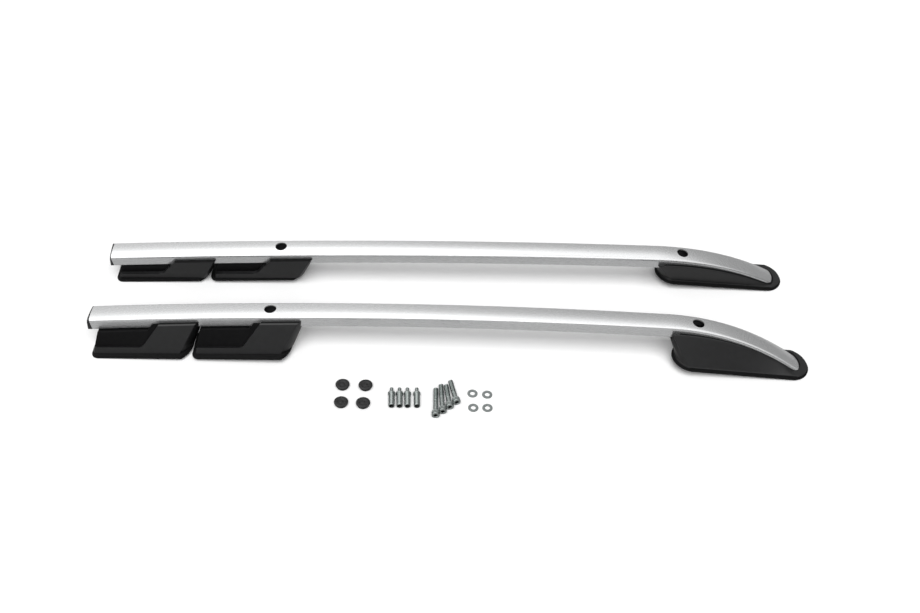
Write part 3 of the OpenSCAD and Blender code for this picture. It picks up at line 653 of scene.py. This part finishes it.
# %% Outlines and levels of a front foot
base_middle, half_base, end_radius = -0.85, 31.2, 33.0
heel_overhang, heel_radius, tip_margin, tip_radius = 9.07, 200.0, 4.5, 31.5
shoulder_rise, shoulder_bevel = math.radians(2.1), 1.6
notch_depth, notch_half, notch_ramp, notch_length = 15.5, 18.4, 2.4, 9.0
line_before_bend, line_past_bend, line_points = 20, 60, 300
side_steps, end_steps, wall_levels = 90, 40, 11
tray_cover, cover_fall = 0.2, 0.1


def plan(rear, front, half, radius, rear_radius=0.0):
    """A closed outline: the inner side forwards, the front arc, the outer side back, the rear arc.
    An arc's radius is more than the half width, so a soft corner is left where it meets a side."""
    radius = max(radius, half)
    rear_radius = max(rear_radius, radius)
    angle, heel_angle = math.asin(half / radius), math.asin(half / rear_radius)
    reach, heel_reach = radius * (1 - math.cos(angle)), rear_radius * (1 - math.cos(heel_angle))
    along = np.linspace(rear + heel_reach, front - reach, side_steps + 1)
    inner_side = np.stack([along, half + 0 * along], -1)
    front_arc = arc((front - radius, 0), radius, angle, -angle, end_steps)
    outer_side = np.stack([along[::-1], -half + 0 * along], -1)
    rear_centre = (rear + rear_radius, 0)
    rear_arc = arc(rear_centre, rear_radius, math.pi + heel_angle, math.pi - heel_angle, end_steps)
    return np.concatenate([inner_side[:-1], front_arc[:-1], outer_side[:-1], rear_arc[:-1]])


def base_level(grow, height):
    """An outline on the roof at a height, grown on every side."""
    p = plan(front_foot_x - grow, front_foot_end + grow, half_base + grow, end_radius)
    flat = np.stack([p[:, 0], p[:, 1] + base_middle, np.full(len(p), height)], -1)
    return on_roof(flat, front_pivot_x, front_pitch)


def shoulder_heights(across):
    """Places and heights of the shoulder line at a distance across: a point of the section carried along
    the rail, then turned up about the heel by the rise of the shoulders."""
    s = np.linspace(bow_length - line_before_bend, bow_length + bend_length + line_past_bend, line_points)
    x, z, slope = rail_line(s)
    depth = across * math.tan(tube_cant) - shoulder_depth
    x, z = x + depth * np.sin(slope) - front_foot_x, z + depth * np.cos(slope) - crest_z(front_foot_x)
    turned_x = front_foot_x + x * math.cos(shoulder_rise) - z * math.sin(shoulder_rise)
    turned_z = crest_z(front_foot_x) + x * math.sin(shoulder_rise) + z * math.cos(shoulder_rise)
    return turned_x, turned_z


inner_line, outer_line = shoulder_heights(half_shoulder), shoulder_heights(-half_shoulder)


def top_level(half, lower, inset=0.0, notch=False):
    """An outline at the shoulders: its heights lie between the inner and outer shoulder lines, and it
    never sinks below the tray. The heel is flatter here than at the base, and a notch lets it pass under
    the tube."""
    heel = front_foot_x - heel_overhang + inset
    p = plan(heel, tip_x + tip_margin - inset, half, tip_radius, heel_radius)
    share = (p[:, 1] + half_shoulder) / (2 * half_shoulder)
    z = np.interp(p[:, 0], *outer_line) * (1 - share) + np.interp(p[:, 0], *inner_line) * share - lower
    if notch:
        under_tube = np.clip((notch_half - np.abs(p[:, 1])) / notch_ramp, 0, 1)
        z = z - notch_depth * under_tube * (p[:, 0] < heel + notch_length)
    placed = leaned(np.stack([p[:, 0], p[:, 1], z], -1))
    lift = np.maximum(0, tray_height + tray_cover - lower * cover_fall - height_on_roof(placed))
    return placed + lift[:, None] * np.array((math.sin(front_pitch), 0, math.cos(front_pitch)))


# The rim's levels are given by growth and height, the crown's by half width, lowering, inset and notch
rim = [base_level(*level) for level in (
    (-14.0, pad_height), (-0.4, pad_height), (0, pad_height + 0.4),
    (0, tray_height - 1.1), (-0.35, tray_height - 0.4), (-1.1, tray_height))]
wall_top = top_level(half_shoulder, shoulder_bevel, notch=True)
wall = [rim[-1] * (1 - v) + wall_top * v for v in np.linspace(0, 1, wall_levels + 1)[1:]]
crown_of_foot = [top_level(*level) for level in (
    (half_shoulder - 0.35, 0.5, 0.35, True), (half_shoulder - 1.2, 0.05, 1.2, True),
    (half_shoulder - 1.6, 0.0, 1.6, True), (16.6, 0.0, 5.0, True),
    (13.0, 14.5, 8.0), (0.5, 14.5, 20.0))]
front_foot_grid = np.stack(rim + wall + crown_of_foot)
levels, points_around = front_foot_grid.shape[:2]
# The first and last levels are closed with one face each
caps = [np.arange(points_around)[::-1], (levels - 1) * points_around + np.arange(points_around)]
foot_faces = ring_faces(levels, points_around).tolist() + [cap.tolist() for cap in caps]
# The shoulders' top, from where the rounding ends, gets the same painted shade as the recessed panels
shoulder_top_shade = np.arange(len(foot_faces)) >= (len(rim) + len(wall) + 2) * points_around
shoulder_top_shade[-2:] = False
for side in ("right", "left"):
    foot_points = stood(front_foot_grid, side).reshape(-1, 3)
    foot = add_piece("front_foot_shell_" + side, foot_points, foot_faces, second=shoulder_top_shade)
    foot.data.materials.append(grained)
    # The second material is painted shade on the shoulders' top
    foot.data.materials.append(recess_painted_shade)
    smooth_faces(foot, angle=17)
    stands_for(foot, "front_foot_" + side, "grained_black")
print("front foot:", levels, "levels of", points_around, "points")

# %% [markdown]
# ## The hole plugs
# A plug closes an access hole: a domed head with a shallow ringed dish, over a thin skirt with a snap bead.
# The four plugs stand on their skirts.

# %% Plugs
plug_places = np.array([(-188.4, -179.7), (-151, -180.1), (-188, -218.2), (-152.8, -218.9)])
skirt_r, skirt_wall, skirt_h, head_r, head_h, head_web = 9.6, 1.4, 4.5, 11.5, 2.6, 0.4
boss_r, groove_from, groove_to, dish_r = 2.0, 3.5, 5.2, 7.5
boss_fall, groove_fall, dome_fall = 0.4, 1.1, 0.95
bead, bead_reach, edge_top, edge_foot = 0.4, 0.8, 0.1, 0.15
plug_top = skirt_h + head_h
bead_z = skirt_h / 2


def crown_of_plug(r):
    """Height of the domed head: it falls with the square of the radius, by dome_fall at the rim."""
    return plug_top - dome_fall * (r / head_r) ** 2


plug_side = [(0, plug_top - boss_fall), (boss_r, plug_top - boss_fall),
             (groove_from, plug_top - groove_fall), (groove_to, plug_top - groove_fall),
             (dish_r, crown_of_plug(dish_r)), (skirt_r, crown_of_plug(skirt_r)),
             (head_r, crown_of_plug(head_r) - edge_top), (head_r, skirt_h + edge_foot),
             (skirt_r, skirt_h), (skirt_r, bead_z + bead_reach), (skirt_r + bead, bead_z),
             (skirt_r, bead_z - bead_reach), (skirt_r, 0), (skirt_r - skirt_wall, 0),
             (skirt_r - skirt_wall, skirt_h - head_web), (0, skirt_h - head_web)]
plug_grid = turned(softened(plug_side, setback=0.45, steps=5))


def lay_out(name, node, grid, place, slot, turn=0.0, deep=None):
    """Turns a piece about Z, moves it to its place on the floor, and lets it stand for its frame node.
    The bands of the grid whose numbers lie in the range deep get the painted shade of bores."""
    c, s = math.cos(turn), math.sin(turn)
    x, y, z = np.moveaxis(grid, -1, 0)
    points = np.stack([x * c - y * s + place[0], x * s + y * c + place[1], z], -1) + set_shift
    band = np.repeat(np.arange(grid.shape[0] - 1), grid.shape[1])
    inside = None if deep is None else (band >= deep[0]) & (band < deep[1])
    piece = add_piece(name, points.reshape(-1, 3) * MM, ring_faces(*grid.shape[:2]), second=inside)
    smooth_faces(piece, angle=30)
    piece.data.materials.append(finishes[slot])
    if deep is not None:
        piece.data.materials.append(bore_painted_shade)
    return stands_for(piece, node, slot)


plugs = [lay_out(f"plug_{i + 1}", f"hole_plug_{i + 1}", plug_grid, place, "black_trim")
         for i, place in enumerate(plug_places)]
print(len(plugs), "plugs,", round(2 * head_r), "mm across")

# %% [markdown]
# ## The washers
# A washer is a flat ring with softly rounded edges.

# %% Washers
washer_places = np.array([(23.5, -189.9), (47.5, -191.6), (24.4, -221), (47.3, -220.6)])
washer_r, washer_hole_r, washer_h = 8.3, 4.2, 1.6
washer_side = np.array([(washer_hole_r, 0.1), (washer_hole_r, washer_h), (washer_r, washer_h), (washer_r, 0),
                        (washer_hole_r, 0), (washer_hole_r, 0.1)])
washer_grid = turned(softened(washer_side, setback=0.35))
washers = [lay_out(f"flat_washer_{i + 1}", f"washer_{i + 1}", washer_grid, place, "zinc_steel")
           for i, place in enumerate(washer_places)]
for washer in washers:
    washer.data.materials[0] = dull_zinc
print(len(washers), "washers,", 2 * washer_r, "mm across")

# %% [markdown]
# ## Threads
# A thread is a cylinder whose radius rises and falls with a phase that grows by one turn a pitch. On a grid
# of angles and heights that is one formula, and the helix appears by itself.

# %% A thread as a radius
thread_pitch = 1.25
thread_step = thread_pitch / 8
ridge_height, ridge_slope = 1.35, 2.7


def thread_radius(z, a, major, depth, start, end):
    """Radius of a thread: a ridge once a pitch, cut off flat at the top, which fades out over one pitch
    at both ends. The ridge rises as ridge_height - ridge_slope |2 phase - 1|, between 0 and 1."""
    phase = (z / thread_pitch - a / (2 * math.pi)) % 1
    ridge = np.clip(ridge_height - ridge_slope * np.abs(2 * phase - 1), 0, 1)
    fade = np.clip(np.minimum(z - start, end - z) / thread_pitch, 0, 1)
    return major - depth * (1 - ridge) * fade


print("pitch", thread_pitch, "mm")

# %% [markdown]
# ## The bolts
# These are socket-head bolts, threaded for the last 28 mm, with a knurled head and a hexagon socket.
# One grid of rings runs from the tip over thread, shank and head, and down into the socket. The knurl and
# the hexagon are also only changes of radius with the angle.

# %% Bolts
bolt_places = [(-36.4, -186.3, 0.4, 50), (-28.1, -177.9, 3.3, 50), (-19.8, -178.2, 7.9, 40),
               (-12.8, -168.5, 12.8, 40)]
bolt_r, bolt_head_r, bolt_head_h, thread_length = 4.0, 6.5, 8.0, 28.0
socket_flat_r, socket_depth, thread_depth, flute_depth = 3.0, 4.0, 0.65, 0.28
around_bolt, socket_bands = 72, 2
bolt_angles = np.linspace(0, 2 * math.pi, around_bolt, endpoint=False)
sixth = math.pi / 3
hexagon = socket_flat_r / np.cos((bolt_angles + sixth / 2) % sixth - sixth / 2)
flutes = (np.arange(around_bolt) % 2) * flute_depth


def round_rings(rows):
    """Heights and radii of round rings, with each radius repeated for every angle."""
    z, r = np.array(rows, float).T
    return z, r[:, None] * np.ones(around_bolt)


def bolt_grid(length):
    """Rings from tip to socket, in sections that hold heights and, for every angle, radii."""
    top = length + bolt_head_h
    thread_z = np.arange(0.9, thread_length, thread_step)
    thread = thread_radius(thread_z[:, None], bolt_angles, major=bolt_r - 0.04, depth=thread_depth,
                           start=0.4, end=thread_length)
    knurl_z = np.array([length + 0.7, length + 0.95, top - 1.5, top - 1.1])
    knurl = bolt_head_r - np.array([0, 1, 1, 0])[:, None] * flutes
    socket_z = np.array([top, top - 0.35, top - socket_depth])
    sections = [
        round_rings([(0, 0), (0, 2.9), (0.15, 3.05), (0.8, 3.45)]),
        (thread_z, thread),
        round_rings([(thread_length + 0.1, bolt_r - 0.05), (length - 0.5, bolt_r - 0.05),
                     (length - 0.1, bolt_r + 0.35), (length, bolt_r + 0.4),
                     (length, 6.05), (length + 0.15, 6.3)]),
        (knurl_z, knurl),
        round_rings([(top - 0.6, 6.45), (top - 0.2, 6.2), (top, 5.8)]),
        (socket_z, np.stack([hexagon + 0.3, hexagon, hexagon])),
        round_rings([(top - socket_depth - 0.9, 0)])]
    z = np.concatenate([heights for heights, _ in sections])[:, None]
    r = np.concatenate([radii for _, radii in sections])
    # The bolt lies with its axis along -Y, one head radius above the floor
    return np.stack([r * np.cos(bolt_angles), -z + 0 * r, bolt_head_r + r * np.sin(bolt_angles)], -1)


bolts = []
# The socket's last bands get the painted shade of bores
for i, (x, y, turn, length) in enumerate(bolt_places):
    grid = bolt_grid(length)
    bolts.append(lay_out(f"socket_bolt_{i + 1}", f"bolt_{i + 1}", grid, (x, y), "zinc_steel",
                         math.radians(turn), (len(grid) - 1 - socket_bands, len(grid) - 1)))
print(len(bolts), "bolts,", len(bolts[0].data.polygons), "faces each")

# %% [markdown]
# ## The threaded inserts
# An insert is fixed into the roof and takes a bolt. It has a plain body with an inner thread, a collar,
# and a slimmer spigot. Here they lie on their collars with their open ends towards the viewer.

# %% Inserts
insert_places = [(-106.9, -225.5, 2), (-94.1, -225.3, 2), (-81.3, -225, 2), (-66.1, -224.6, 2)]
insert_length, body_r, body_end, collar_r, collar_end, spigot_r = 38.0, 5.0, 25.0, 6.1, 28.0, 3.0
bore_r, bore_thread_depth, bore_depth = 3.4, 0.45, body_end - 2
around_insert = 64
insert_angles = np.linspace(0, 2 * math.pi, around_insert, endpoint=False)
outside = softened([(4.3, 0), (body_r, 0.5), (body_r, body_end), (collar_r, body_end), (collar_r, collar_end),
                    (spigot_r, collar_end), (spigot_r, insert_length), (0, insert_length)], setback=0.4)
bore_z = np.arange(0.5, bore_depth, thread_step)
bore = thread_radius(bore_z[:, None], insert_angles, major=bore_r + bore_thread_depth,
                     depth=bore_thread_depth, start=0.2, end=bore_depth)
insert_z = np.concatenate([[body_end - 1, body_end - 1.2], bore_z[::-1], [0], outside[:, 1]])
insert_r = np.concatenate([
    np.array([0, bore_r])[:, None] * np.ones(around_insert), bore[::-1],
    np.full((1, around_insert), bore_r + 0.6), outside[:, 0:1] * np.ones(around_insert)])
# The bore's bands get the painted shade of bores
bore_bands = len(bore_z) + 2
insert_grid = np.stack([insert_r * np.cos(insert_angles), insert_z[:, None] + 0 * insert_r,
                        collar_r + insert_r * np.sin(insert_angles)], -1)
inserts = [lay_out(f"insert_{i + 1}", f"threaded_insert_{i + 1}", insert_grid, (x, y), "zinc_steel",
                   math.radians(turn), (0, bore_bands))
           for i, (x, y, turn) in enumerate(insert_places)]
print(len(inserts), "inserts,", len(inserts[0].data.polygons), "faces each")

# %% [markdown]
# ## Floor and light
# The rails stand on a plain pale floor. The camera sees it as white, and everything else sees it about
# half as bright. One very broad light stands above and in front, so the soft shadows fall behind the tubes.

# %% Floor
floor_mesh = bpy.data.meshes.new("floor")
floor_half, floor_seen, floor_otherwise = 12.0, 1.02, 0.47
floor_corners = [(x * floor_half, y * floor_half, 0) for x, y in ((-1, -1), (1, -1), (1, 1), (-1, 1))]
floor_mesh.from_pydata(floor_corners, [], [(0, 1, 2, 3)])
floor = bpy.data.objects.new("floor", floor_mesh)
bpy.context.scene.collection.objects.link(floor)
floor_material, tree, shader = new_material("floor_white", (0.6, 0.6, 0.6), roughness=0.9, specular=0.0)
path = tree.nodes.new("ShaderNodeLightPath")
tinted(tree, shader, path.outputs["Is Camera Ray"], (floor_otherwise,) * 3, (floor_seen,) * 3)
floor_mesh.materials.append(floor_material)
print("floor", 2 * floor_half, "m wide")

# %% The key light
key_data = bpy.data.lights.new("key", "SUN")
key_data.angle = math.radians(50)
key_data.energy = 2.9
key = bpy.data.objects.new("key", key_data)
key.rotation_euler = (math.radians(32), 0, 0)
# Metal and gloss see the drawn backdrop of the world instead of the lamp's own disc
key.visible_glossy = False
bpy.context.scene.collection.objects.link(key)
print("key light", key_data.energy, "W per square metre")

# %% [markdown]
# ## What the metal mirrors
# Satin metal shows its surroundings, so the world draws a studio by direction. Seen from the rails, one
# curve of grey levels over the height Z is the backdrop behind them, and two are the viewer's side: one
# towards the rear end of the rails and one towards the front end, which stays dark for longer above the
# floor. A last curve darkens everything towards the front end, along X. Only glossy rays see this. The
# camera sees plain white, and diffuse rays see an even fill.

# %% The world
backdrop_strength, fill_strength, white_strength = 3.0, 0.35, 1.0
world = bpy.data.worlds.new("studio")
bpy.context.scene.world = world
world.use_nodes = True
tree = world.node_tree
tree.nodes.clear()
direction = tree.nodes.new("ShaderNodeTexCoord")
parts = tree.nodes.new("ShaderNodeSeparateXYZ")
path = tree.nodes.new("ShaderNodeLightPath")
tree.links.new(direction.outputs["Generated"], parts.inputs[0])


def feed(value, socket):
    """Gives a socket a number, or links a value of the tree to it."""
    if isinstance(value, float):
        socket.default_value = value
    else:
        tree.links.new(value, socket)


def ramp(value, stops):
    """A piecewise linear curve of grey levels, one stop per pair of place and level."""
    node = tree.nodes.new("ShaderNodeValToRGB")
    elements = node.color_ramp.elements
    elements[0].position, elements[1].position = stops[0][0], stops[-1][0]
    elements[0].color, elements[1].color = [(level, level, level, 1) for level in (stops[0][1], stops[-1][1])]
    for place, level in stops[1:-1]:
        elements.new(place).color = (level, level, level, 1)
    tree.links.new(value, node.inputs["Fac"])
    return node.outputs["Color"]


def times(a, b):
    """The product of two values."""
    node = tree.nodes.new("ShaderNodeMath")
    node.operation = "MULTIPLY"
    feed(a, node.inputs[0])
    feed(b, node.inputs[1])
    return node.outputs[0]


def mixed(factor, a, b):
    """Grey level a where the factor is 0, b where it is 1."""
    node = tree.nodes.new("ShaderNodeMix")
    node.data_type = "RGBA"
    for value, socket in ((factor, "Factor"), (a, "A"), (b, "B")):
        tree.links.new(value, node.inputs[socket])
    return node.outputs["Result"]


def background(strength):
    """A plain background of a strength."""
    node = tree.nodes.new("ShaderNodeBackground")
    feed(strength, node.inputs["Strength"])
    return node.outputs[0]


def shown_to(ray, special, otherwise):
    """One background for one kind of ray, and another for the rest."""
    node = tree.nodes.new("ShaderNodeMixShader")
    for value, socket in ((path.outputs[ray], 0), (otherwise, 1), (special, 2)):
        tree.links.new(value, node.inputs[socket])
    return node.outputs[0]


# A ramp ends at one, so its levels are multiplied by backdrop_strength further down
behind = ramp(parts.outputs["Z"], [(0.0, 0.23), (0.24, 0.30), (0.47, 0.31), (0.59, 0.325), (0.67, 0.365),
                                   (0.743, 0.45), (0.80, 0.64), (0.87, 1.0), (0.96, 1.0), (1.0, 0.3)])
before_rear_end = ramp(parts.outputs["Z"], [(0.0, 0.05), (0.12, 0.1), (0.3, 0.7), (0.45, 1.0),
                                            (0.96, 1.0), (1.0, 0.5)])
before_front_end = ramp(parts.outputs["Z"], [(0.0, 0.02), (0.25, 0.04), (0.4, 0.3), (0.55, 1.0),
                                             (0.96, 1.0), (1.0, 0.6)])
along_x = between(tree, parts.outputs["X"], 0, 1, start=-1, end=1)
sideways = ramp(along_x, [(0.44, 1.0), (0.4825, 0.84), (0.5265, 0.72), (0.57, 0.62),
                          (0.75, 0.45), (0.9, 0.36)])
towards_front_end = between(tree, parts.outputs["X"], 0, 1, start=0, end=0.25)
before = mixed(towards_front_end, before_rear_end, before_front_end)
towards_viewer = between(tree, parts.outputs["Y"], 1, 0, start=-0.1, end=0.1)
backdrop = background(times(times(mixed(towards_viewer, behind, before), backdrop_strength), sideways))
around_rails = shown_to("Is Glossy Ray", backdrop, background(fill_strength))
output = tree.nodes.new("ShaderNodeOutputWorld")
everything = shown_to("Is Camera Ray", background(white_strength), around_rails)
tree.links.new(everything, output.inputs["Surface"])
print("world ready")

# %% Plain view settings
bpy.context.scene.view_settings.view_transform = "Standard"
print("view transform:", bpy.context.scene.view_settings.view_transform)
